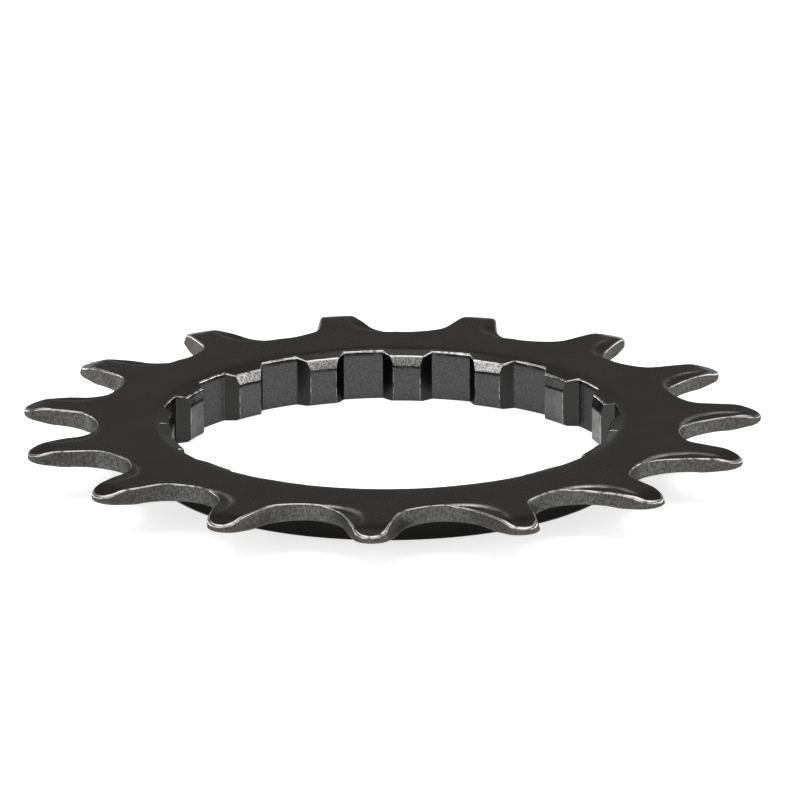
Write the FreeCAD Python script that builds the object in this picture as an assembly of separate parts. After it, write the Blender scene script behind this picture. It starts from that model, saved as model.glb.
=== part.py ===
# Direct-mount drive sprocket of an electric bicycle: a toothed steel plate on a short splined hub.
# Sizes are in millimetres and degrees. The axis is Z. The hub's lower face lies on z = 0 and the
# toothed plate is on top.
import math
import os

import FreeCAD
import Part

# Chain and tooth ring
chain_pitch = 12.7
tooth_count = 15
tooth_addendum = 3.28
roller_seat_radius = 3.82
flank_lean = 16.0
index_angle = -117.0

# Toothed plate
overall_height = 4.75
plate_thickness = 1.6
lower_edge_break = 0.22

# Relief round each roller seat: shallow on the upper face, steeper on the lower face
seat_relief_reach = 1.35
upper_seat_offset = 0.6
upper_seat_slope = 6.0
lower_seat_offset = 1.2
lower_seat_slope = 16.0

# Turned relief at the tooth tips
upper_tip_relief_width = 1.75
upper_tip_relief_depth = 0.5
lower_tip_relief_width = 4.8
lower_tip_relief_depth = 0.7

# Hub ring
hub_wall = 1.05
hub_edge_break = 0.3
hub_root_radius = 0.4

# Splined bore
spline_count = 16
spline_major_radius = 20.95
spline_depth = 1.09
spline_recess_width = 3.62
spline_flank_angle = 35.0

# Lead-in of the bore: a shallow dish in the upper face, then a steep chamfer on the lands
dish_reach = 0.5
dish_land_height = 0.29
dish_depth = 0.42
land_chamfer_depth = 0.88
lower_land_chamfer = 0.25

# Overlap and overshoot of the solids that are joined or cut
overlap = 0.5
seat_cone_overshoot = 0.05

# Sizes that follow from those above
half_tooth_angle = 180.0 / tooth_count
pitch_radius = chain_pitch / (2 * math.sin(math.radians(half_tooth_angle)))
tip_radius = pitch_radius + tooth_addendum
plate_bottom = overall_height - plate_thickness
hub_radius = spline_major_radius + hub_wall
spline_minor_radius = spline_major_radius - spline_depth
axis = FreeCAD.Vector(0, 0, 1)
centre = FreeCAD.Vector(0, 0, 0)


def at_angle(point, angle, z):
    """Turn a plan point, given with the tooth or land pointing along +Y, to its place on the ring."""
    turn = math.radians(angle - 90)
    x = point[0] * math.cos(turn) - point[1] * math.sin(turn)
    y = point[0] * math.sin(turn) + point[1] * math.cos(turn)
    return FreeCAD.Vector(x, y, z)


def mirrored(point):
    return (-point[0], point[1])


def arc_edge(first, middle, last):
    return Part.Arc(first, middle, last).toShape()


def line_edge(first, last):
    return Part.LineSegment(first, last).toShape()


def revolved(points):
    """Solid of revolution about the axis from (radius, height) corners."""
    corners = [FreeCAD.Vector(radius, 0, height) for radius, height in points]
    profile = Part.Face(Part.makePolygon(corners + corners[:1]))
    return profile.revolve(centre, axis, 360)


def tooth_points():
    """Half outline of one tooth pointing along +Y: seat bottom, flank and the round tip."""
    half = math.radians(half_tooth_angle)
    lean = math.radians(flank_lean)
    outward = (math.sin(half), math.cos(half))
    toward_tooth = (-math.cos(half), math.sin(half))
    seat_centre = (pitch_radius * outward[0], pitch_radius * outward[1])
    seat_half_angle = math.pi / 2 - half - lean
    inward_step = roller_seat_radius * math.cos(seat_half_angle)
    side_step = roller_seat_radius * math.sin(seat_half_angle)
    flank_start = tuple(
        seat_centre[i] - inward_step * outward[i] + side_step * toward_tooth[i] for i in (0, 1)
    )
    seat_bottom = tuple(seat_centre[i] - roller_seat_radius * outward[i] for i in (0, 1))
    # The tip is one arc that meets both flanks smoothly and reaches the tip radius
    flank_offset = flank_start[0] * math.cos(lean) + flank_start[1] * math.sin(lean)
    tip_centre = (tip_radius - flank_offset) / (1 - math.sin(lean))
    tip_round = tip_radius - tip_centre
    flank_end = (tip_round * math.cos(lean), tip_centre + tip_round * math.sin(lean))
    return seat_bottom, flank_start, flank_end


def tooth_outline(z):
    """Closed outline of the tooth ring at one height."""
    seat_bottom, flank_start, flank_end = tooth_points()
    edges = []
    for k in range(tooth_count):
        angle = index_angle + k * 2 * half_tooth_angle
        following = angle - 2 * half_tooth_angle
        left_start = at_angle(mirrored(flank_start), angle, z)
        left_end = at_angle(mirrored(flank_end), angle, z)
        tip = at_angle((0, tip_radius), angle, z)
        right_end = at_angle(flank_end, angle, z)
        right_start = at_angle(flank_start, angle, z)
        seat = at_angle(seat_bottom, angle, z)
        next_start = at_angle(mirrored(flank_start), following, z)
        edges.append(line_edge(left_start, left_end))
        edges.append(arc_edge(left_end, tip, right_end))
        edges.append(line_edge(right_end, right_start))
        edges.append(arc_edge(right_start, seat, next_start))
    return Part.Wire(Part.__sortEdges__(edges))


def toothed_plate():
    """Plate with the tooth outline, its lower edge broken all the way round."""
    plate = Part.Face(tooth_outline(plate_bottom)).extrude(axis * plate_thickness)
    lower_edges = [edge for edge in plate.Edges if edge.BoundBox.ZMax < plate_bottom + lower_edge_break / 2]
    return plate.makeChamfer(lower_edge_break, lower_edges)


def seat_relief_cones(face, way, offset, slope_angle):
    """Flat cones that ease one face of the plate round every roller seat."""
    slope = math.tan(math.radians(slope_angle))
    face_radius = roller_seat_radius + seat_relief_reach
    deep_radius = face_radius / 2
    depth = (face_radius - deep_radius) * slope
    outer_radius = face_radius + seat_cone_overshoot / slope
    cones = []
    for k in range(tooth_count):
        angle = index_angle + (2 * k + 1) * half_tooth_angle
        deep_centre = at_angle((0, pitch_radius + offset), angle, face) - way * depth
        cones.append(Part.makeCone(deep_radius, outer_radius, depth + seat_cone_overshoot, deep_centre, way))
    return cones


def tip_relief(face, width, depth):
    """Turned ring that thins the tips; a negative depth works upward from the lower face."""
    fall = depth * (width + overlap) / width
    beyond = face + math.copysign(overlap, depth)
    return revolved([
        (tip_radius - width, face),
        (tip_radius + overlap, face - fall),
        (tip_radius + overlap, beyond),
    ])


def hub():
    """Turned hub ring below the plate, with a broken lower edge and a rounded root."""
    root_centre = (hub_radius + hub_root_radius, plate_bottom - hub_root_radius)
    half_step = hub_root_radius * math.sqrt(0.5)

    def corner(radius, height):
        return FreeCAD.Vector(radius, 0, height)

    path = [corner(0, 0), corner(hub_radius - hub_edge_break, 0), corner(hub_radius, hub_edge_break)]
    path.append(corner(hub_radius, root_centre[1]))
    top = [corner(root_centre[0], plate_bottom), corner(root_centre[0], plate_bottom + overlap)]
    top += [corner(0, plate_bottom + overlap), corner(0, 0)]
    root_middle = corner(root_centre[0] - half_step, root_centre[1] + half_step)
    edges = [line_edge(a, b) for a, b in zip(path[:-1], path[1:])]
    edges.append(arc_edge(path[-1], root_middle, top[0]))
    edges += [line_edge(a, b) for a, b in zip(top[:-1], top[1:])]
    return Part.Face(Part.Wire(edges)).revolve(centre, axis, 360)


def spline_prism():
    """Prism of the splined bore: wide recesses between inward lands with slanting flanks."""
    half_recess = spline_recess_width / 2
    recess_corner = (half_recess, math.sqrt(spline_major_radius ** 2 - half_recess ** 2))
    slant = math.tan(math.radians(spline_flank_angle))
    # The flank line meets the minor circle where x = a - slant * y
    a = recess_corner[0] + slant * recess_corner[1]
    square = 1 + slant ** 2
    inside = (a * slant) ** 2 - square * (a ** 2 - spline_minor_radius ** 2)
    land_y = (a * slant + math.sqrt(inside)) / square
    land_corner = (a - slant * land_y, land_y)
    step = 360.0 / spline_count
    low = -overlap
    edges = []
    for k in range(spline_count):
        angle = index_angle + (k + 0.5) * step
        left = at_angle(mirrored(recess_corner), angle, low)
        right = at_angle(recess_corner, angle, low)
        land_left = at_angle(mirrored(land_corner), angle, low)
        land_right = at_angle(land_corner, angle, low)
        land_middle = at_angle((0, spline_minor_radius), angle - step / 2, low)
        next_land = at_angle(mirrored(land_corner), angle - step, low)
        edges.append(line_edge(land_left, left))
        edges.append(arc_edge(left, at_angle((0, spline_major_radius), angle, low), right))
        edges.append(line_edge(right, land_right))
        edges.append(arc_edge(land_right, land_middle, next_land))
    outline = Part.Wire(Part.__sortEdges__(edges))
    return Part.Face(outline).extrude(axis * (overall_height + 2 * overlap))


def bore_lead_in():
    """Turned dish and land chamfer at the upper end of the bore."""
    dish_radius = spline_major_radius + dish_reach
    land_top_radius = spline_minor_radius + dish_land_height
    rise = overlap * dish_depth / (dish_radius - land_top_radius)
    run = overlap * dish_land_height / land_chamfer_depth
    dish_bottom = overall_height - dish_depth
    land_bottom = dish_bottom - land_chamfer_depth
    return revolved([
        (0, overall_height + rise),
        (dish_radius + overlap, overall_height + rise),
        (land_top_radius, dish_bottom),
        (spline_minor_radius - run, land_bottom - overlap),
        (0, land_bottom - overlap),
    ])


def bore_lead_out():
    """Small chamfer on the lower ends of the lands."""
    wide = spline_minor_radius + lower_land_chamfer
    narrow = spline_minor_radius - lower_land_chamfer
    top = 2 * lower_land_chamfer
    return revolved([(0, -overlap), (wide + overlap, -overlap), (narrow, top), (0, top)])


def chainring():
    upper_tips = tip_relief(overall_height, upper_tip_relief_width, upper_tip_relief_depth)
    lower_tips = tip_relief(plate_bottom, lower_tip_relief_width, -lower_tip_relief_depth)
    plate = toothed_plate().cut([upper_tips, lower_tips])
    plate = plate.cut(seat_relief_cones(overall_height, axis, upper_seat_offset, upper_seat_slope))
    plate = plate.cut(seat_relief_cones(plate_bottom, -axis, lower_seat_offset, lower_seat_slope))
    body = plate.fuse(hub()).removeSplitter()
    body = body.cut(spline_prism())
    return body.cut([bore_lead_in(), bore_lead_out()])


os.makedirs("parts", exist_ok=True)
piece = chainring()
solid = piece.Solids[0]
solid.exportStep("parts/chainring.step")
print("solids", len(piece.Solids), "valid", solid.isValid(), "volume", round(solid.Volume, 1))
print("box", solid.BoundBox)
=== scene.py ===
# %% [markdown]
# # A drive sprocket for an electric bicycle
# The real object is one small steel plate with fifteen teeth. It sits on a short hub with a splined bore.
# The CAD model gives the true form, with sharp corners and no finish. This lesson dresses it: the camera is
# set, then comes the same form again as one smooth mesh with small worn edges, then its black finish, and
# last the floor and the light. First the imported CAD model is loaded, and its box is kept and printed.

# %% The imported frame
import math

import bpy
import numpy as np
from mathutils import Matrix, Vector


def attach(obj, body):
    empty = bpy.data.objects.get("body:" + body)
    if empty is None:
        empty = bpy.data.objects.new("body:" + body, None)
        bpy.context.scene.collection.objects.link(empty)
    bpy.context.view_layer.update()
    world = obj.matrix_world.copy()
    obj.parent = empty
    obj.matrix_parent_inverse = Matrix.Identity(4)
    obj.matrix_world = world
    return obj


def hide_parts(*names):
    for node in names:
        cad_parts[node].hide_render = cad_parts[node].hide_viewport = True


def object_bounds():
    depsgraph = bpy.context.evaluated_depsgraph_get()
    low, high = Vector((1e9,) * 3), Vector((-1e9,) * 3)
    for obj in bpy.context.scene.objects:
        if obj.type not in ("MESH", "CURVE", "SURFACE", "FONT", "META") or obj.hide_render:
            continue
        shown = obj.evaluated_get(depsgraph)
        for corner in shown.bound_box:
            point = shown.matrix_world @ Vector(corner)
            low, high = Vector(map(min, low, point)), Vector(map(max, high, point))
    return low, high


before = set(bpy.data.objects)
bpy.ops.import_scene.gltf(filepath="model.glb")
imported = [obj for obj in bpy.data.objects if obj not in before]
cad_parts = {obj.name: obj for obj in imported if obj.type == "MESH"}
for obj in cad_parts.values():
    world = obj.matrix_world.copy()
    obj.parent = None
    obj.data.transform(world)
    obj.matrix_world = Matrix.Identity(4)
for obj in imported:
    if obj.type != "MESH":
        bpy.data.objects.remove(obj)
cad_low, cad_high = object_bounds()
MM = 0.001
print("CAD box in mm:", [round(c / MM, 2) for c in (*cad_low, *cad_high)])

# %% [markdown]
# ## The camera
# The sprocket lies flat and is seen from low down, about seventeen degrees above the table, through a
# long lens. A long lens keeps the near and the far teeth almost the same size. The camera looks at the
# middle of the upper face, then a little to the side and up, so that the sprocket sits in the frame as
# it should. Turning the camera does this as well as a lens shift, and other views stay simple.

# %% Camera
CAMERA_ELEVATION = math.radians(17.41)
CAMERA_ROLL = math.radians(-0.41)
CAMERA_DISTANCE = 1004.8 * MM
AIM_RIGHT = 0.91 * MM
AIM_UP = 1.52 * MM

top_centre = Vector((0, 0, cad_high.z))
backward = Vector((0, -math.cos(CAMERA_ELEVATION), math.sin(CAMERA_ELEVATION)))
camera_right = Vector((1, 0, 0))
camera_up = backward.cross(camera_right)
camera_data = bpy.data.cameras.new("table_camera")
camera_data.sensor_width = 36
camera_data.lens = 497.5
camera_data.clip_start = 0.05
camera_data.clip_end = 20
camera = bpy.data.objects.new("table_camera", camera_data)
bpy.context.scene.collection.objects.link(camera)
camera.location = top_centre + backward * CAMERA_DISTANCE
aim = top_centre + camera_right * AIM_RIGHT + camera_up * AIM_UP - camera.location
look = aim.to_track_quat("-Z", "Y").to_matrix().to_4x4()
camera.matrix_world = Matrix.Translation(camera.location) @ look @ Matrix.Rotation(CAMERA_ROLL, 4, "Z")
bpy.context.scene.camera = camera
print("camera stands", round(camera.location.length / MM), "mm from the sprocket")

# %% [markdown]
# ## Sizes
# The mesh has to be the same part as the CAD solid, so the same sizes drive it, in millimetres. One
# number is new: how many points go round the part. Every ring of the mesh has the same count, so that
# rings join into plain quads from the tooth tips to the hub and round again. 960 divides by 15 teeth and
# by 16 splines, which gives every tooth 64 points and every spline 60.

# %% Sizes in millimetres
RING_POINTS = 960
TOOTH_COUNT = 15
CHAIN_PITCH = 12.7
TOOTH_ADDENDUM = 3.28
SEAT_RADIUS = 3.82
FLANK_LEAN = math.radians(16.0)
INDEX_ANGLE = math.radians(-117.0)
HEIGHT = 4.75
PLATE_THICKNESS = 1.6
HUB_WALL = 1.05
SPLINE_COUNT = 16
SPLINE_MAJOR = 20.95
SPLINE_DEPTH = 1.09

TOOTH_STEP = 2 * math.pi / TOOTH_COUNT
PITCH_RADIUS = CHAIN_PITCH / (2 * math.sin(TOOTH_STEP / 2))
TIP_RADIUS = PITCH_RADIUS + TOOTH_ADDENDUM
PLATE_BOTTOM = HEIGHT - PLATE_THICKNESS
SPLINE_MINOR = SPLINE_MAJOR - SPLINE_DEPTH
HUB_RADIUS = SPLINE_MAJOR + HUB_WALL
print("pitch radius", round(PITCH_RADIUS, 3), "tip radius", round(TIP_RADIUS, 3))

# %% [markdown]
# ## Small helpers for rows of points
# A ring is an array of points, so numpy does the drawing. `wobble` gives a smooth wandering row of
# numbers that closes on itself, for edges that are never quite even. `soft_max` is a maximum whose corner
# is rounded, so that two slopes run into each other as ground steel does. `fan` repeats half of one tooth or
# spline, mirrored and turned, all the way round.

# %% Helpers for numbers
def soft_max(a, b, softness):
    return (a + b + np.sqrt((a - b) ** 2 + softness ** 2)) / 2


def soft_rise(value, softness):
    """Zero while value is below zero, then a rounded start."""
    return np.maximum(soft_max(value, 0.0, softness) - softness / 2, 0)


def smooth_step(low, high, value):
    t = np.clip((value - low) / (high - low), 0, 1)
    return t * t * (3 - 2 * t)


def wobble(seed, spread):
    """A closed row of RING_POINTS numbers, about -1 to 1, smooth over some `spread` points."""
    limit = 1.3
    rough = np.random.default_rng(seed).normal(size=RING_POINTS)
    reach = np.minimum(np.arange(RING_POINTS), RING_POINTS - np.arange(RING_POINTS))
    kernel = np.exp(-0.5 * (reach / spread) ** 2)
    row = np.real(np.fft.ifft(np.fft.fft(rough) * np.fft.fft(kernel)))
    return np.clip(row / (2 * row.std()), -limit, limit)


print("one full turn has", RING_POINTS, "points")

# %% Helpers for points
def polar(radius, angle):
    return np.stack([radius * np.cos(angle), radius * np.sin(angle)], axis=-1)


def clock(radius, turn):
    """Points at an angle counted from +Y toward +X, as on a clock."""
    return np.stack([radius * np.sin(turn), radius * np.cos(turn)], axis=-1)


def radius_of(points):
    return np.hypot(points[:, 0], points[:, 1])


def angle_of(points):
    """The angle of every point of a ring, counted on past the half turn."""
    return np.unwrap(np.arctan2(points[:, 1], points[:, 0]))


def unit(vector):
    return vector / np.linalg.norm(vector)


def fan(half, count):
    """Repeat half of one tooth or spline, given from its middle outward, all the way round."""
    radius = radius_of(half)
    turn = np.arctan2(half[:, 0], half[:, 1])
    step = 2 * math.pi / count
    sector_radius = np.concatenate([radius[:-1], radius[:0:-1]])
    sector_turn = np.concatenate([turn[:-1], step - turn[:0:-1]])
    angles = (INDEX_ANGLE + step * np.arange(count))[:, None] + sector_turn
    return polar(np.tile(sector_radius, count), angles.ravel())


def corner_arc(before, corner, after, radius, steps):
    """Points of a small round that replaces a corner between two straight runs."""
    way_in = unit(before - corner)
    way_out = unit(after - corner)
    half = math.acos(np.clip(way_in @ way_out, -1, 1)) / 2
    centre = corner + unit(way_in + way_out) * radius / math.sin(half)
    first = corner + way_in * radius / math.tan(half) - centre
    last = corner + way_out * radius / math.tan(half) - centre
    whole = math.acos(np.clip(first @ last / radius ** 2, -1, 1))
    t = np.linspace(0, 1, steps + 1)[:, None]
    return centre + (np.sin((1 - t) * whole) * first + np.sin(t * whole) * last) / math.sin(whole)


print("a tooth gets", RING_POINTS // TOOTH_COUNT, "points, a spline", RING_POINTS // SPLINE_COUNT)

# %% [markdown]
# ## The tooth outline
# A chain tooth is simple in plan: a round seat for the chain's roller, a straight flank, and a full round
# at the tip. It could be drawn as a curve and filled, but a filled curve gives long thin triangles that
# shade badly. Here the outline is a ring of points, closer together on the rounds, and its outward
# direction is kept too, because the edges and bevels are made by stepping inward from it.

# %% Tooth outline
TIP_STEPS = 12
FLANK_STEPS = 8
SEAT_STEPS = 12


def half_tooth():
    """From the middle of the tip to the bottom of the seat, for a tooth that points along +Y."""
    half = TOOTH_STEP / 2
    outward = np.array([math.sin(half), math.cos(half)])
    sideways = np.array([-math.cos(half), math.sin(half)])
    seat_centre = PITCH_RADIUS * outward
    seat_turn = math.pi / 2 - half - FLANK_LEAN
    flank_start = seat_centre + SEAT_RADIUS * (math.sin(seat_turn) * sideways - math.cos(seat_turn) * outward)
    # The tip is one arc that meets the flank smoothly and reaches the tip radius
    flank_offset = flank_start @ (math.cos(FLANK_LEAN), math.sin(FLANK_LEAN))
    tip_centre = (TIP_RADIUS - flank_offset) / (1 - math.sin(FLANK_LEAN))
    tip_turn = np.linspace(0, math.pi / 2 - FLANK_LEAN, TIP_STEPS + 1)
    tip = clock(TIP_RADIUS - tip_centre, tip_turn) + (0, tip_centre)
    flank = tip[-1] + np.linspace(0, 1, FLANK_STEPS + 1)[1:, None] * (flank_start - tip[-1])
    swing = np.linspace(seat_turn, 0, SEAT_STEPS + 1)[1:, None]
    seat = seat_centre + SEAT_RADIUS * (np.sin(swing) * sideways - np.cos(swing) * outward)
    return np.concatenate([tip, flank, seat])


def outward_of(ring):
    """The direction out of the material at every point of a closed ring."""
    along = np.roll(ring, -1, axis=0) - np.roll(ring, 1, axis=0)
    along = along / np.linalg.norm(along, axis=1)[:, None]
    return np.stack([along[:, 1], -along[:, 0]], axis=-1)


outline = fan(half_tooth(), TOOTH_COUNT)
outline_radius = radius_of(outline)
outward = outward_of(outline)
print("tooth outline runs from radius", round(outline_radius.min(), 2), "to", round(outline_radius.max(), 2))

# %% [markdown]
# ## The slanted flank
# On one side of every tooth the wall leans back: half way along the flank its upper edge lies about half a
# millimetre further in than its foot, and at the root and the tip hardly at all. Such a flank is milled or
# coined after the blank is cut. It could be a sheared edge loop, but the lean has to fade at both ends, so
# the plate gets a second outline for its upper edge. How much each point leans is read from the outline
# itself: from its radius, and from how far it faces along the turn of the ring.

# %% Upper outline
FLANK_SETBACK = 0.6
FLANK_FACING = (0.0, 0.95)
SETBACK_GROWS = (26.4, 28.6)
SETBACK_FADES = (28.0, 33.6)
FADED_SHARE = 0.7
ROOT_SETBACK = 0.1
ROOT_SETBACK_GROWS = (28.8, 27.0)

turn_way = np.stack([-outline[:, 1], outline[:, 0]], axis=-1) / outline_radius[:, None]
facing = np.sum(outward * turn_way, axis=1)
setback = FLANK_SETBACK * smooth_step(*FLANK_FACING, facing) * smooth_step(*SETBACK_GROWS, outline_radius)
setback = setback * (1 - FADED_SHARE * smooth_step(*SETBACK_FADES, outline_radius))
setback = setback + ROOT_SETBACK * smooth_step(*ROOT_SETBACK_GROWS, outline_radius)
upper_outline = outline - outward * setback[:, None]
upper_outward = outward_of(upper_outline)
print("slanted flank leans back by up to", round(float(setback.max()), 2), "mm")

# %% [markdown]
# ## The two faces of the plate
# The upper face isn't flat. A shallow step is pressed into it along every roller seat and on along one flank,
# so that the chain's side plates can pass, and the tips fall away softly, which helps the chain to settle. On
# the lower face a cone eases every seat and the tips are thinner too. Booleans could cut these steps, but
# they leave hard lines. A face is one height for any point in plan, so it is written as a function that
# every ring asks, and its slopes stay smooth.

# %% Places on the plate
STEP_OUT = 0.1
STEP_ALONG = 1.5
STEP_LEAN = 0.25
STEP_REACH = 0.35


def seat_place(points):
    """Plan points seen from the nearest roller seat's middle: how far out and how far along the turn."""
    radius = radius_of(points)
    turn = angle_of(points) - INDEX_ANGLE - TOOTH_STEP / 2
    turn = turn - TOOTH_STEP * np.round(turn / TOOTH_STEP)
    return radius * np.cos(turn) - PITCH_RADIUS, radius * np.sin(turn)


def step_reach(points):
    """How far a point lies inside the pressed step, which follows the seat and one flank."""
    out, along = seat_place(points)
    out = out - STEP_OUT
    along = along - STEP_ALONG - STEP_LEAN * np.maximum(out, 0)
    return SEAT_RADIUS + STEP_REACH - np.hypot(np.minimum(out, 0), along)


def tip_relief(points, width, depth, softness):
    return soft_rise((radius_of(points) - TIP_RADIUS + width) * depth / width, softness)


print("pressed step covers", round(float(np.mean(step_reach(outline) > 0)) * 100), "% of the outline")

# %% Face heights
UPPER_TIP = {"width": 2.1, "depth": 0.62, "softness": 0.12}
UPPER_BLEND = 0.06
STEP_DEPTH = 0.17
STEP_RISE = 0.1
STEP_RISES = (28.3, 30.3)
STEP_RUN = (0.0, 0.4)
STEP_FALL = 0.02
LOWER_TIP = {"width": 4.8, "depth": 0.5, "softness": 0.1}
LOWER_BLEND = 0.02
LOWER_REACH = 1.35
LOWER_OUT = 1.2
LOWER_SLOPE = math.tan(math.radians(18.0))
LOWER_SOFTNESS = 0.04


def upper_height(points):
    """The tips fall away softly, and the step is shallower along the flank than at the seat."""
    reach = step_reach(points)
    depth = STEP_DEPTH - STEP_RISE * smooth_step(*STEP_RISES, radius_of(points))
    pressed = depth * smooth_step(*STEP_RUN, reach) + STEP_FALL * np.clip(reach, 0, 1)
    return HEIGHT - soft_max(tip_relief(points, **UPPER_TIP), pressed, UPPER_BLEND) + UPPER_BLEND / 2


def lower_height(points):
    """A cone eases every seat from below, and the tips rise."""
    out, along = seat_place(points)
    reach = SEAT_RADIUS + LOWER_REACH - np.hypot(out - LOWER_OUT, along)
    eased = soft_rise(reach * LOWER_SLOPE, LOWER_SOFTNESS)
    return PLATE_BOTTOM + soft_max(tip_relief(points, **LOWER_TIP), eased, LOWER_BLEND) - LOWER_BLEND / 2


print("tips are", round(float(np.min(upper_height(outline) - lower_height(outline))), 2), "mm thick")

# %% [markdown]
# ## Rings of the toothed plate
# The sprocket is a ring doughnut in the mathematical sense, so its whole skin can be a stack of closed
# rings. `lay` adds one ring to the stack with its masks: how much a point is on a cut wall, on a worn edge,
# in the bore, and so on. The finish reads these masks later. The stack goes from the upper face outward, over
# the edge, down the wall, back inward under the plate, down the hub and up through the bore. The edge's width
# is chosen here, since the face has to stop short of it: narrow along the flanks and a full nose at the tips.

# %% The stack of rings
rings = []
masks = {name: [] for name in ("wall", "edge", "bore", "flank", "chamfer", "soot", "rub")}


def lay(points, z, **shares):
    """Add one ring: plan points, height, and its share of each mask; a mask that isn't named is 0."""
    rings.append(np.column_stack([points, np.broadcast_to(z, RING_POINTS)]))
    for name, rows in masks.items():
        rows.append(np.broadcast_to(shares.get(name, 0.0), RING_POINTS).astype(float))


print("masks:", ", ".join(masks))

# %% The width of the edge
EDGE_SIZE = 0.13
NOSE_WIDTH = 0.15
NOSE_DEPTH = 0.13
NOSE_GROWS = (30.2, 33.6)
NOSE_CALM = 0.6
SHORT_WAVE = 0.35
LONG_WAVE = 0.25
at_tip = smooth_step(*NOSE_GROWS, outline_radius)


def uneven(seed):
    """A factor near 1 that wanders along the edge, in short and long waves, and less at the tips."""
    waves = SHORT_WAVE * wobble(seed, 2) + LONG_WAVE * wobble(seed + 1, 14)
    return 1 + (1 - NOSE_CALM * at_tip) * waves


edge_width = (EDGE_SIZE + NOSE_WIDTH * at_tip) * uneven(3)
edge_depth = (EDGE_SIZE + NOSE_DEPTH * at_tip) * uneven(5)
print("edges are about", round(float(edge_width.mean()), 3), "mm wide")

# %% Steps inward from the outlines
INNER_CIRCLE = 25.3


def stepped_in(ring, way_out, distance):
    return ring - way_out * np.broadcast_to(distance, RING_POINTS)[:, None]


def inset(distance):
    """The foot of the wall, stepped inward."""
    return stepped_in(outline, outward, distance)


def upper_inset(distance):
    """The upper edge, stepped inward."""
    return stepped_in(upper_outline, upper_outward, distance)


def toward_circle(points, share):
    """Points slid straight inward, a share of the way to the inner circle."""
    radius = radius_of(points)
    return polar(radius + share * (INNER_CIRCLE - radius), angle_of(points))


print("teeth end on a circle of radius", INNER_CIRCLE, "mm")

# %% [markdown]
# ## The spline outline
# The bore grips the motor shaft with sixteen lands. Between them are wide recesses with a floor on a larger
# circle. A land is cut back near the top by a steep lead-in chamfer, so the outline takes the land's radius
# as a value: each height asks for its own outline, and the point counts stay the same.

# %% Spline outline
RECESS_WIDTH = 3.62
FLANK_SLANT = math.tan(math.radians(35.0))
CORNER_ROUND = 0.1
LAND_STEPS = 6
CORNER_STEPS = 4
SLANT_STEPS = 5
FLOOR_STEPS = 11
RECESS_CORNER = np.array([RECESS_WIDTH / 2, math.sqrt(SPLINE_MAJOR ** 2 - (RECESS_WIDTH / 2) ** 2)])


def half_spline(land, recess):
    """From the middle of a land, which points along +Y, to the middle of a recess, by its two corners."""
    along_land = unit(np.array([-land[1], land[0]]))
    along_floor = unit(np.array([recess[1], -recess[0]]))
    land_round = corner_arc(land + along_land, land, recess, CORNER_ROUND, CORNER_STEPS)
    floor_round = corner_arc(land, recess, recess + along_floor, CORNER_ROUND, CORNER_STEPS)
    land_turn = math.atan2(*land_round[0])
    floor_turn = math.atan2(*floor_round[-1])
    land_face = clock(np.linalg.norm(land_round[0]), np.linspace(0, land_turn, LAND_STEPS + 1)[:-1])
    slant = np.linspace(0, 1, SLANT_STEPS + 1)[1:-1, None]
    flank = land_round[-1] + slant * (floor_round[0] - land_round[-1])
    floor = clock(SPLINE_MAJOR, np.linspace(floor_turn, math.pi / SPLINE_COUNT, FLOOR_STEPS + 1)[1:])
    return np.concatenate([land_face, land_round, flank, floor_round, floor])


def spline_ring(land_radius):
    """The splined outline whose lands end on land_radius, with its corners rounded a little."""
    # With a recess along +Y the flank is the line x = a - slant * y, which meets the land's circle
    a = RECESS_CORNER[0] + FLANK_SLANT * RECESS_CORNER[1]
    square = 1 + FLANK_SLANT ** 2
    root = math.sqrt((a * FLANK_SLANT) ** 2 - square * (a ** 2 - land_radius ** 2))
    land_y = (a * FLANK_SLANT + root) / square
    land_corner = np.array([a - FLANK_SLANT * land_y, land_y])
    # Mirror and turn both corners, so that the land's middle points along +Y
    cos = math.cos(math.pi / SPLINE_COUNT)
    sin = math.sin(math.pi / SPLINE_COUNT)
    turn = np.array([[-cos, sin], [sin, cos]])
    return fan(half_spline(turn @ land_corner, turn @ RECESS_CORNER), SPLINE_COUNT)


bore_ring = spline_ring(SPLINE_MINOR)
print("spline ring has", len(bore_ring), "points")

# %% [markdown]
# ## From the bore to the tooth edge
# The upper face starts as a circle at the bore's shallow dish. There the points follow the splines. Further
# out they have to follow the teeth, so a few rings slide the points from one spacing to the other. A seam
# of triangles could join the two counts as well, but it would show as a line of shading on a satin face. The
# rings also note the rim of the pressed step, where the chain rubs it bright. This mask is strongest on one
# side of the ring, a painted highlight where the rims catch the light.

# %% Spacing of the points
FACE_STEPS = (0.42, 0.32, 0.22, 0.12, 0.03)
LOWER_STEPS = (0.32, 0.5, 0.7, 0.9)
DISH_REACH = 0.5
DISH_RADIUS = SPLINE_MAJOR + DISH_REACH

upper_start = upper_inset(edge_width + FACE_STEPS[0])
lower_start = inset(LOWER_STEPS[-1])
tooth_angle = angle_of(upper_start)
lower_angle = angle_of(lower_start)
spline_angle = angle_of(bore_ring)
turns_apart = np.round((tooth_angle[0] - spline_angle[0]) / (2 * math.pi))
spline_angle = spline_angle + 2 * math.pi * turns_apart


def plate_circle(radius, angle):
    """A ring of the flat part of a face, its points eased from the splines to the teeth."""
    share = smooth_step(DISH_RADIUS, INNER_CIRCLE, radius)
    return polar(radius, spline_angle + share * (angle - spline_angle))


print("points slide by up to", round(math.degrees(np.abs(tooth_angle - spline_angle).max()), 2), "degrees")

# %% Where the chain has rubbed, and the painted highlight
# The painted highlight on the rims is strongest toward this side, in degrees
SHEEN_SIDE = -60
FLANK_SIDE = -15
RIM_PLACE = 0.16
RIM_SPREAD = 0.18
RIM_STARTS = (25.6, 26.4)
RIM_ENDS = (32.3, 31.0)
ROOT_PART = (29.5, 28.0)
FLANK_SHEEN = 0.8


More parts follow.
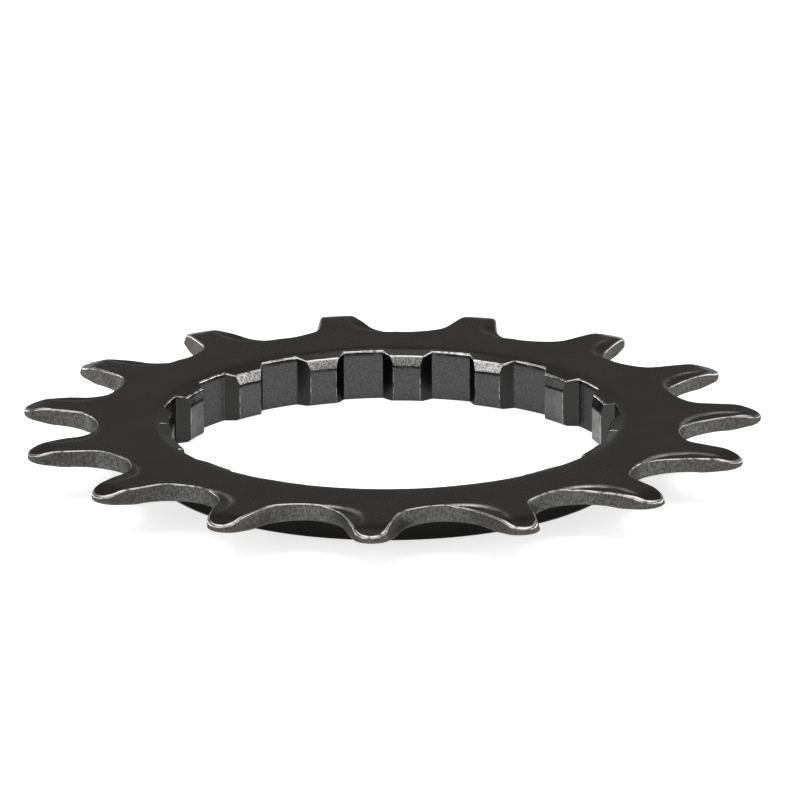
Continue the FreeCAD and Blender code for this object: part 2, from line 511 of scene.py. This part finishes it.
def toward_side(points, side):
    """How near a point lies to one side of the ring: 1 at that angle in degrees, 0 opposite."""
    return 0.5 + 0.5 * np.cos(angle_of(points) - math.radians(side))


def rubbed(points):
    """Where the chain's side plates polish the step's rim, weighted by side as a painted highlight."""
    radius = radius_of(points)
    rim = np.exp(-(((step_reach(points) - RIM_PLACE) / RIM_SPREAD) ** 2))
    rim = rim * smooth_step(*RIM_STARTS, radius) * smooth_step(*RIM_ENDS, radius)
    root = smooth_step(*ROOT_PART, radius)
    on_root = root * toward_side(points, SHEEN_SIDE) ** 2
    on_flank = (1 - root) * FLANK_SHEEN * toward_side(points, FLANK_SIDE) ** 4
    return rim * (on_root + on_flank)


print("most rubbed point of the edge:", round(float(rubbed(upper_start).max()), 2))

# %% Upper face
DISH_RIM_DROP = 0.012
FLAT_RADII = (DISH_RADIUS + 0.1, 22.3, 23.2, 24.1, 24.8)
SLIDE_SHARES = (1.0, 0.88, 0.77, 0.67, 0.58, 0.49, 0.4, 0.32, 0.24, 0.17, 0.1, 0.045)

lay(plate_circle(DISH_RADIUS, tooth_angle), HEIGHT - DISH_RIM_DROP)
for radius in FLAT_RADII:
    lay(plate_circle(radius, tooth_angle), HEIGHT)
for share in SLIDE_SHARES:
    points = toward_circle(upper_start, share)
    lay(points, upper_height(points), rub=rubbed(points))
for distance in FACE_STEPS:
    points = upper_inset(edge_width + distance)
    lay(points, upper_height(points), rub=rubbed(points))
print("upper face:", len(rings), "rings")

# %% [markdown]
# ## The edge, the cut wall and the lower face
# The upper edge is rounded by little more than a tenth of a millimetre, and by twice that at the tips, which
# end in a round nose. It isn't even, because tumbling and use have worked on it. A Bevel modifier could round
# it, but it gives every edge one width. Rings placed by sums let the width wander and carry the wear mask.
# Below the edge the cut wall runs down from the upper outline to the lower one, and the lower edge is broken.

# %% Upper edge
NOSE_LEAN = math.radians(14.0)
QUARTER_TURNS = (0, 22, 45, 68, 90)
EDGE_WEAR = (0.4, 1.0, 1.0, 1.0, 0.4)

edge_start = upper_height(upper_inset(edge_width))
face_lean = NOSE_LEAN * at_tip
for turn, wear in zip(QUARTER_TURNS, EDGE_WEAR):
    lean = face_lean + turn / 90 * (math.pi / 2 - face_lean)
    step_in = edge_width * (1 - np.sin(lean)) / (1 - np.sin(face_lean))
    drop = edge_depth * (1 - np.cos(lean) / np.cos(face_lean))
    lay(upper_inset(step_in), edge_start - drop, wall=turn / 90, edge=wear)
print("after the upper edge:", len(rings), "rings")

# %% Wall and lower edge
LOWER_BREAK = 0.26
LEAST_BREAK = 0.07
NOSE_BREAK = 0.13
WALL_SHARES = (0.06, 0.25, 0.45, 0.65, 0.85, 1.0)
# Share of the break inward and upward, then the masks of wall and edge
LOWER_EDGE = ((0.2, 0.6, 1.0, 0.4), (0.6, 0.2, 0.7, 0.4), (1.0, 0.0, 0.3, 0.2))

eased_by = lower_height(outline) - PLATE_BOTTOM
lower_break = np.clip(LOWER_BREAK - eased_by, LEAST_BREAK, LOWER_BREAK) + NOSE_BREAK * at_tip
lower_edge = lower_height(inset(lower_break))
wall_top = edge_start - edge_depth
wall_foot = lower_edge + lower_break
for share in WALL_SHARES:
    points = upper_outline + share * (outline - upper_outline)
    lay(points, wall_top + share * (wall_foot - wall_top), wall=1.0, edge=0.2 if share == 1.0 else 0.0)
for inward, upward, on_wall, wear in LOWER_EDGE:
    lay(inset(lower_break * inward), lower_edge + lower_break * upward, wall=on_wall, edge=wear)
print("after the wall:", len(rings), "rings")

# %% Lower face
LOWER_SHARES = (0.1, 0.25, 0.42, 0.6, 0.8, 1.0)

for distance in LOWER_STEPS:
    points = inset(distance)
    lay(points, lower_height(points))
for share in LOWER_SHARES:
    points = toward_circle(lower_start, share)
    lay(points, lower_height(points))
print("after the lower face:", len(rings), "rings")

# %% [markdown]
# ## The hub
# Under the plate a short turned ring carries the splines. It meets the plate in a small round and ends in a
# broken edge on the table side. It is a plain shape of revolution, so its rings are circles. These rings, and
# the plate's underside near the hub, carry a painted shade: near black, for the shade under the plate.

# %% Hub
ROOT_ROUND = 0.4
HUB_BREAK = 0.3
BREAK_ROUND = 0.03
UNDER_RADII = (24.0, 23.0)
HUB_HEIGHTS = (2.0, 1.2, 0.45)
HUB_EDGE = (
    (0.0, HUB_BREAK + BREAK_ROUND),
    (BREAK_ROUND, HUB_BREAK - BREAK_ROUND),
    (HUB_BREAK - BREAK_ROUND, BREAK_ROUND),
    (HUB_BREAK + BREAK_ROUND, 0.0),
)

# The plate's underside near the hub and the whole hub get the painted shade, near black
for radius in UNDER_RADII:
    lay(plate_circle(radius, lower_angle), PLATE_BOTTOM, soot=1.0)
for turn in QUARTER_TURNS:
    lean = math.radians(turn)
    radius = HUB_RADIUS + ROOT_ROUND * (1 - math.sin(lean))
    lay(polar(radius, spline_angle), PLATE_BOTTOM - ROOT_ROUND * (1 - math.cos(lean)), soot=1.0)
for z in HUB_HEIGHTS:
    lay(polar(HUB_RADIUS, spline_angle), z, soot=1.0)
for step_in, z in HUB_EDGE:
    lay(polar(HUB_RADIUS - step_in, spline_angle), z, edge=0.3, soot=1.0)
print("after the hub:", len(rings), "rings")

# %% [markdown]
# ## The splined bore
# The rings now climb back up through the bore. The lands have a small break at the bottom and run straight.
# First every point of a ring is told what it lies on: a land, a slanting flank, a recess or a land's corner.
# The order of the points along a spline says so, and no search by distance is needed. The lands at the right
# and left ends, where the shaft bears, are made brighter: partly rub, partly a painted highlight. The
# slanting flanks get a painted shade, which a painted reflection lifts toward one side.

# %% What each point of a spline lies on
RIGHT_SIDE = 0
LEFT_SIDE = 180
RIGHT_SHEEN = 0.7
LEFT_SHEEN = 0.3
SHEEN_NARROWNESS = 16
FLANK_LIGHT_SHARE = 0.9
FLANK_LIGHT_NARROWNESS = 10
SPLINE_POINTS = RING_POINTS // SPLINE_COUNT
LAND_CORNER_PLACE = LAND_STEPS + CORNER_STEPS // 2
RECESS_CORNER_PLACE = LAND_CORNER_PLACE + CORNER_STEPS + SLANT_STEPS

counted = np.arange(RING_POINTS) + SPLINE_POINTS // 2
land_number = counted // SPLINE_POINTS % SPLINE_COUNT
place = np.abs(counted % SPLINE_POINTS - SPLINE_POINTS // 2)
on_land = (place <= LAND_CORNER_PLACE).astype(float)
on_slant = (place > LAND_CORNER_PLACE + 1) & (place < RECESS_CORNER_PLACE)
on_recess = 1 - on_land - on_slant
on_corner = (np.abs(place - LAND_CORNER_PLACE) <= 1).astype(float)
near_right = toward_side(bore_ring, RIGHT_SIDE)
near_left = toward_side(bore_ring, LEFT_SIDE)
# The slanting flanks get a painted shade; a painted reflection lifts it toward one side
flank_light = FLANK_LIGHT_SHARE * toward_side(bore_ring, FLANK_SIDE) ** FLANK_LIGHT_NARROWNESS
flank_shade = on_slant * (1 - flank_light)
# The lands at the right and left ends get a painted highlight as well as their rub where the shaft bears
land_rub_and_sheen = on_land * (RIGHT_SHEEN * near_right ** SHEEN_NARROWNESS + LEFT_SHEEN * near_left ** SHEEN_NARROWNESS)
print("a land has", int(on_land[land_number == 0].sum()), "of a spline's", SPLINE_POINTS, "points")

# %% Lands
LAND_BREAK = 0.25
LAND_HEIGHTS = (LAND_BREAK, 0.9, 1.6, 2.3, 2.9)
CORNER_WEAR = 0.55
# The foot's rings lie a little outside the outline, by these factors, and the second one a little higher
FOOT_OUT = (1.004, 1.0006)
FOOT_RISE = 0.02

low_ring = spline_ring(SPLINE_MINOR + LAND_BREAK)
middle_ring = spline_ring(SPLINE_MINOR + LAND_BREAK / 2)
lay(low_ring * FOOT_OUT[0], 0.0, bore=0.6, edge=0.3)
lay(low_ring * FOOT_OUT[1], FOOT_RISE, bore=1.0, edge=0.4, flank=flank_shade)
lay(middle_ring, LAND_BREAK / 2, bore=1.0, edge=0.2, flank=flank_shade)
for z in LAND_HEIGHTS:
    lay(bore_ring, z, bore=1.0, flank=flank_shade, edge=on_corner * CORNER_WEAR, rub=land_rub_and_sheen)
print("after the lands:", len(rings), "rings")

# %% [markdown]
# ## The lead-in chamfer and the lip
# Near the top the lands lean back in a steep lead-in chamfer. It was turned last. Its bare steel shows on the
# lands of one side, on some more than on others, and has darkened again on the rest, so it gets its own mask.
# Toward its top the bare steel is painted lighter, a painted highlight. The cutter left a bright narrow lip
# along the top. A ragged line of painted shade runs along the chamfer's foot, and a dark ragged painted shade
# lies under the lip in the recesses. A few rings lie close together there, and `wobble` moves them up and
# down. A bump could draw these marks too, but the lip catches the light as a real edge does only if it has a
# face of its own.

# %% Marks of the cutter, and painted shade
BARE_SIDE = 97
BARE_PART = (0.79, 0.9)
BARENESS = (0.3, 1.0)
DARKENED = 0.7
CHAMFER_WIDTH = 0.29
CHAMFER_DEPTH = 0.88
DISH_DEPTH = 0.42
LAND_TOP = SPLINE_MINOR + CHAMFER_WIDTH
DISH_SLOPE = DISH_DEPTH / (DISH_RADIUS - LAND_TOP)


def dish_height(points):
    return HEIGHT - (DISH_RADIUS - radius_of(points)) * DISH_SLOPE


top_ring = spline_ring(LAND_TOP)
top_height = dish_height(top_ring)
ragged = 0.045 * wobble(11, 1.2) + 0.03 * wobble(12, 5)
chamfer_foot = top_height - CHAMFER_DEPTH + ragged
# A ragged line of painted shade along the chamfer's foot
foot_shade = on_land * np.clip(0.9 + 0.5 * wobble(14, 1.5), 0, 1)
bare_side = smooth_step(*BARE_PART, toward_side(bore_ring, BARE_SIDE))
bareness = np.random.default_rng(101).uniform(*BARENESS, SPLINE_COUNT)
bared = on_land * bare_side * bareness[land_number]
darkened = DARKENED * on_land * (1 - bare_side)
# Painted shade under the lip in the recesses, ragged along the ring
under_lip = on_recess * np.clip(1.0 + 0.9 * wobble(15, 1.5), 0, 1)
print("the chamfer's foot wanders by", round(float(np.ptp(ragged)), 2), "mm")

# %% Chamfer
BURR_BELOW = (0.18, 0.01)
BURR_ENDS_BELOW = 0.3
BURR_END_WEAR = 0.5
# Share of the chamfer, counted down from its top, and the painted shade in the recess at that height
CHAMFER_STEPS = ((0.98, 0.0), (0.85, 0.0), (0.6, 0.0), (0.42, 0.6), (0.3, 1.0))

corner_wear = on_corner * BURR_END_WEAR
lay(bore_ring, chamfer_foot - BURR_ENDS_BELOW, bore=1.0, flank=flank_shade, edge=corner_wear, rub=land_rub_and_sheen)
for below in BURR_BELOW:
    lay(bore_ring, chamfer_foot - below, bore=1.0, flank=flank_shade, soot=foot_shade)
for share, shade in CHAMFER_STEPS:
    ring = spline_ring(SPLINE_MINOR + CHAMFER_WIDTH * (1 - share))
    z = top_height - (CHAMFER_DEPTH - ragged) * share
    # The bare steel is painted lighter toward the chamfer's top, a painted highlight
    bare_with_sheen = bared * (1.05 - 0.45 * share)
    lay(ring, z, bore=1.0, flank=flank_shade, chamfer=bare_with_sheen, soot=darkened + shade * under_lip)
print("after the chamfer:", len(rings), "rings")

# %% Lip and dish
LIP_SIZE = 0.095
LIP_UNEVENNESS = 0.4
LIP_COAT = 0.5
LIP_NARROWNESS = 12
LIP_UNDERCUT = 0.04
LIP_GAP = 0.02
LIP_ROUND = 0.55
DISH_START = 0.19
DISH_SHARES = (0.3, 0.6, 0.9)
# Share of the lip's size outward from the bore, and the wear there
LIP_STEPS = ((0.4, 1.0), (1.0, 0.9), (1.15, 0.0))

lip = LIP_SIZE * (1 + LIP_UNEVENNESS * wobble(13, 1.4))
lip_wear = 1 - LIP_COAT * (near_right ** LIP_NARROWNESS + near_left ** LIP_NARROWNESS)
lip_ring = spline_ring(LAND_TOP - LIP_UNDERCUT)
lip_foot = top_height - lip
lay(lip_ring, lip_foot - LIP_GAP, bore=1.0, flank=flank_shade, chamfer=bared, soot=darkened + under_lip)
lay(lip_ring, lip_foot, bore=0.8, edge=lip_wear)
for share, wear in LIP_STEPS:
    points = top_ring * (1 + share * lip / SPLINE_MAJOR)[:, None]
    z = dish_height(points) - lip * max(LIP_ROUND - share, 0)
    lay(points, z, bore=0.4 * wear, edge=wear * lip_wear)
dish_start = radius_of(top_ring) + DISH_START
for share in DISH_SHARES:
    points = polar(dish_start + share * (DISH_RADIUS - dish_start), spline_angle)
    lay(points, dish_height(points))
print("whole stack:", len(rings), "rings")

# %% [markdown]
# ## The mesh
# The stack closes on itself: the last ring joins the first, as the last point of a ring joins its first
# point. So the faces are index arithmetic, and the result has no seams, gaps or loose faces.

# %% Mesh
stack = np.array(rings)
ring_index = np.arange(len(rings))[:, None]
point_index = np.arange(RING_POINTS)[None, :]
next_ring = (ring_index + 1) % len(rings)
next_point = (point_index + 1) % RING_POINTS
faces = np.stack(
    [
        ring_index * RING_POINTS + point_index,
        next_ring * RING_POINTS + point_index,
        next_ring * RING_POINTS + next_point,
        ring_index * RING_POINTS + next_point,
    ],
    axis=-1,
).reshape(-1, 4)
mesh = bpy.data.meshes.new("sprocket")
mesh.from_pydata((stack.reshape(-1, 3) * MM).tolist(), [], faces.tolist())
for name, rows in masks.items():
    attribute = mesh.attributes.new(name, "FLOAT", "POINT")
    attribute.data.foreach_set("value", np.array(rows, np.float32).ravel())
mesh.shade_smooth()
sprocket = bpy.data.objects.new("sprocket", mesh)
bpy.context.scene.collection.objects.link(sprocket)
print("sprocket mesh:", len(mesh.vertices), "points,", len(mesh.polygons) * 2, "triangles")

# %% [markdown]
# ## Shader sums as Python
# A finish is a graph of nodes, and writing it node by node hides the idea. This small class wraps one socket,
# so that `1 - wall` or `grain * 0.3` adds the Math nodes by itself. `Finish.node` makes any other node.

# %% Sockets
class Value:
    """One socket in a shader, with the operators of a number."""

    def __init__(self, finish, socket):
        self.finish = finish
        self.socket = socket

    def math(self, operation, first, second):
        return self.finish.node("ShaderNodeMath", {"operation": operation}, {0: first, 1: second})

    def __add__(self, other):
        return self.math("ADD", self, other)

    def __radd__(self, other):
        return self.math("ADD", other, self)

    def __mul__(self, other):
        return self.math("MULTIPLY", self, other)

    def __rmul__(self, other):
        return self.math("MULTIPLY", other, self)

    def __sub__(self, other):
        return self.math("SUBTRACT", self, other)

    def __rsub__(self, other):
        return self.math("SUBTRACT", other, self)

    def clamp(self):
        return self.finish.node("ShaderNodeClamp", {}, {"Value": self})

    def ramp(self, low, high):
        """0 below low, 1 above high, smooth between."""
        settings = {"interpolation_type": "SMOOTHSTEP"}
        inputs = {"Value": self, "From Min": low, "From Max": high}
        return self.finish.node("ShaderNodeMapRange", settings, inputs)


print("sockets can be added, multiplied and subtracted")

# %% Materials
class Finish:
    """A material whose nodes are written as expressions."""

    def __init__(self, name):
        self.material = bpy.data.materials.new(name)
        self.material.use_nodes = True
        self.tree = self.material.node_tree
        self.shader = self.tree.nodes["Principled BSDF"]

    def node(self, kind, settings, inputs, output=0):
        made = self.tree.nodes.new(kind)
        for key, value in settings.items():
            setattr(made, key, value)
        for key, value in inputs.items():
            self.feed(made.inputs[key], value)
        return Value(self, made.outputs[output])

    def feed(self, socket, value):
        if isinstance(value, Value):
            self.tree.links.new(value.socket, socket)
        else:
            socket.default_value = value

    def mask(self, name):
        return self.node("ShaderNodeAttribute", {"attribute_name": name}, {}, "Fac")

    def place(self, scale):
        """The point on the object, stretched by scale, for a texture to read."""
        where = self.node("ShaderNodeTexCoord", {}, {}, "Object")
        return self.node("ShaderNodeVectorMath", {"operation": "MULTIPLY"}, {0: where, 1: scale})

    def noise(self, scale, detail=2.0, roughness=0.5):
        inputs = {"Vector": self.place(scale), "Scale": 1.0, "Detail": detail, "Roughness": roughness}
        return self.node("ShaderNodeTexNoise", {}, inputs, "Fac")

    def blend(self, share, first, second):
        """From one colour to another by share."""
        return self.node("ShaderNodeMix", {"data_type": "RGBA"}, {0: share, 6: first, 7: second}, 2)


def grey(level, warmth=0.0):
    return (level * (1 + warmth), level, level * (1 - warmth), 1)


print("shader helpers ready")

# %% [markdown]
# ## The finish
# The steel is blackened: the coat is nearly black, a little warm, and satin. Black oxide is thin and hard and
# reflects as metal does, so the shader is metallic with a very dark colour, and not a black paint with a
# clear gloss. Where the part was cut, the wall is greyer and has a fine grain. Where it was turned or rubbed,
# the bare steel shows: on the lead-in chamfers, along the sharp edges in broken lines, and in streaks on the
# rims of the pressed steps. Some layers are painted light and shade: the rim streaks and the bright lands of
# the bore are strongest on the sides that catch the light, a painted highlight; the chamfers are painted
# lighter toward their top; the bore's slanting flanks carry a painted shade; and the hub, the plate's
# underside near it, the chamfer's foot and the recesses under the lip carry a near-black painted shade.
# Every layer is one blend over the colour below it, by a mask from the mesh times some noise. The noise is
# read at the point on the object in metres, so a scale of 7000 gives specks of about a seventh of a
# millimetre. Sheet steel seen at a low angle would mirror the room too strongly, so the tint at grazing
# angles is halved. A photograph of steel as a texture could do all this, but it would repeat and couldn't
# know where the edges are.

# %% Masks and noises of the finish
steel = Finish("black_steel")
wall = steel.mask("wall")
edge = steel.mask("edge")
bore = steel.mask("bore")
flank = steel.mask("flank")
chamfer = steel.mask("chamfer")
soot = steel.mask("soot")
rub = steel.mask("rub")
cloud = steel.noise((260, 260, 260), 3.0)
stipple = steel.noise((7000, 7000, 7000))
grain = steel.noise((6000, 6000, 4500), 3.0, 0.6)
patch = steel.noise((1400, 1400, 1400), 3.0)
streak = steel.noise((900, 900, 900))
in_plan = steel.place((1000, 1000, 0))
radius_mm = steel.node("ShaderNodeVectorMath", {"operation": "LENGTH"}, {0: in_plan}, "Value")
tip = radius_mm.ramp(27.0, 33.5)
dish = radius_mm.ramp(21.5, 21.3)
print("masks and noises made of", len(steel.tree.nodes), "nodes")

# %% Colours of the finish
coat = steel.blend(cloud.ramp(0.2, 0.8), grey(0.034, 0.07), grey(0.042, 0.09))
coat = steel.blend(dish, coat, grey(0.052, 0.06))
root_steel = steel.blend(grain.ramp(0.32, 0.68), grey(0.045, 0.01), grey(0.135, 0.01))
tip_steel = steel.blend(grain.ramp(0.32, 0.68), grey(0.041, 0.1), grey(0.093, 0.08))
cut_steel = steel.blend(tip, root_steel, tip_steel)
bore_steel = steel.blend(stipple.ramp(0.2, 0.8), grey(0.038), grey(0.077))
turned_steel = steel.blend(stipple.ramp(0.3, 0.7), grey(0.12, 0.01), grey(0.72, 0.01))
bright_steel = steel.blend(bore, grey(0.47, 0.01), grey(0.7))
worn = (edge * (patch.ramp(0.25, 0.6) * 0.6 + 0.4)).ramp(0.3, 0.85)
polish_and_sheen = rub * (streak * 1.6).clamp()
colour = steel.blend(wall, coat, cut_steel)
colour = steel.blend(bore, colour, bore_steel)
# Painted shade on the bore's slanting flanks, lifted toward one side by a painted reflection
colour = steel.blend(bore * flank, colour, grey(0.03, 0.02))
# Painted shade, near black: on the hub, under the plate, along the chamfer's foot and under the lip; the same
# mask darkens the coat on the chamfers of the unworn side
colour = steel.blend(soot, colour, grey(0.012, 0.05))
colour = steel.blend(chamfer, colour, turned_steel)
# Polished step rims and bore lands, strongest on the sides that catch the light: partly rub, partly painted
# highlight
colour = steel.blend(polish_and_sheen, colour, grey(0.55, 0.01))
colour = steel.blend(worn, colour, bright_steel)
steel.feed(steel.shader.inputs["Base Color"], colour)
print("with colour:", len(steel.tree.nodes), "nodes")

# %% Gloss and grain of the finish
steel.shader.inputs["Metallic"].default_value = 1.0
steel.shader.inputs["Specular Tint"].default_value = (0.52, 0.52, 0.52, 1)
cut_wall = (wall - edge).clamp()
roughness = 0.22 + stipple * 0.08 + cut_wall * 0.2 + chamfer * 0.14 + polish_and_sheen * 0.06
steel.feed(steel.shader.inputs["Roughness"], roughness)
height = stipple * 0.08 + grain * (wall + bore) * 0.8
bump = steel.node("ShaderNodeBump", {}, {"Strength": 0.3, "Distance": 0.02 * MM, "Height": height})
steel.feed(steel.shader.inputs["Normal"], bump)
print("whole finish:", len(steel.tree.nodes), "nodes")

# %% [markdown]
# ## The piece in the frame
# The CAD solid stays in the file for collision, but it is hidden: this mesh stands for it. The sprocket is
# one rigid piece of steel with nothing that moves on it, so it rides on the only body there is.

# %% The piece in the frame
mesh.materials.append(steel.material)
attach(sprocket, "root")
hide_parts("chainring")
print("sprocket rides on the root body")

# %% [markdown]
# ## The floor
# The sprocket lies on a plain white sheet that has no edge in view. A sheet that is only lit would show a
# grey shadow all round. A light table, as is used for small product pictures, glows by itself and washes the
# shadow out, so the sheet gets some emission. It also lights the undersides and the cut walls from below.

# %% Floor
FLOOR_HALF = 3
floor_corners = [(x * FLOOR_HALF, y * FLOOR_HALF, 0) for x, y in ((-1, -1), (1, -1), (1, 1), (-1, 1))]
floor_mesh = bpy.data.meshes.new("floor")
floor_mesh.from_pydata(floor_corners, [], [(0, 1, 2, 3)])
floor = bpy.data.objects.new("floor", floor_mesh)
bpy.context.scene.collection.objects.link(floor)
paper = Finish("pale_paper")
paper.shader.inputs["Base Color"].default_value = (0.86, 0.86, 0.86, 1)
paper.shader.inputs["Emission Color"].default_value = (1, 1, 1, 1)
paper.shader.inputs["Emission Strength"].default_value = 0.7
paper.shader.inputs["Roughness"].default_value = 0.9
paper.shader.inputs["Specular IOR Level"].default_value = 0.1
floor_mesh.materials.append(paper.material)
print("floor is", 2 * FLOOR_HALF, "m wide")

# %% [markdown]
# ## The light
# Dark metal shows what it mirrors more than what falls on it, so the lamps are large soft panels and each
# has one thing to do. The one above draws the edges. Those at the front and sides are seen in the bore and
# the tooth walls. The dim one at the back is what the flat upper face mirrors, and sets how dark it looks.
# Two low strips light the walls of the teeth at the back. Point lamps would make hard small glints instead.

# %% Light
def softbox(name, place, size, watts):
    """A large soft lamp that faces the sprocket."""
    lamp = bpy.data.lights.new(name, "AREA")
    lamp.shape = "RECTANGLE"
    lamp.size = size[0]
    lamp.size_y = size[1]
    lamp.energy = watts
    box = bpy.data.objects.new(name, lamp)
    bpy.context.scene.collection.objects.link(box)
    box.location = place
    box.visible_camera = False
    box.rotation_mode = "QUATERNION"
    box.rotation_quaternion = (top_centre - Vector(place)).to_track_quat("-Z", "Y")


# Name, place and size in metres, and power in watts
LAMPS = (
    ("over", (0, 0.1, 1.3), (1.6, 1.7), 16),
    ("front", (0, -2.2, 1.0), (2.6, 1.5), 11),
    ("left", (-1.8, -1.3, 0.9), (2.0, 1.4), 15),
    ("right", (2.0, -0.9, 0.9), (2.0, 1.4), 12),
    ("back", (0, 3.0, 1.1), (4.0, 2.2), 12),
    ("left_low", (-2.6, 1.1, 0.26), (3.0, 0.5), 26),
    ("right_low", (2.6, 1.1, 0.26), (3.0, 0.5), 26),
)
for lamp in LAMPS:
    softbox(*lamp)
world = bpy.data.worlds.new("studio")
world.use_nodes = True
background = world.node_tree.nodes["Background"]
background.inputs["Color"].default_value = (0.5, 0.5, 0.5, 1)
background.inputs["Strength"].default_value = 0.36
bpy.context.scene.world = world
bpy.context.scene.view_settings.view_transform = "Standard"
print("light set:", len(LAMPS), "lamps")
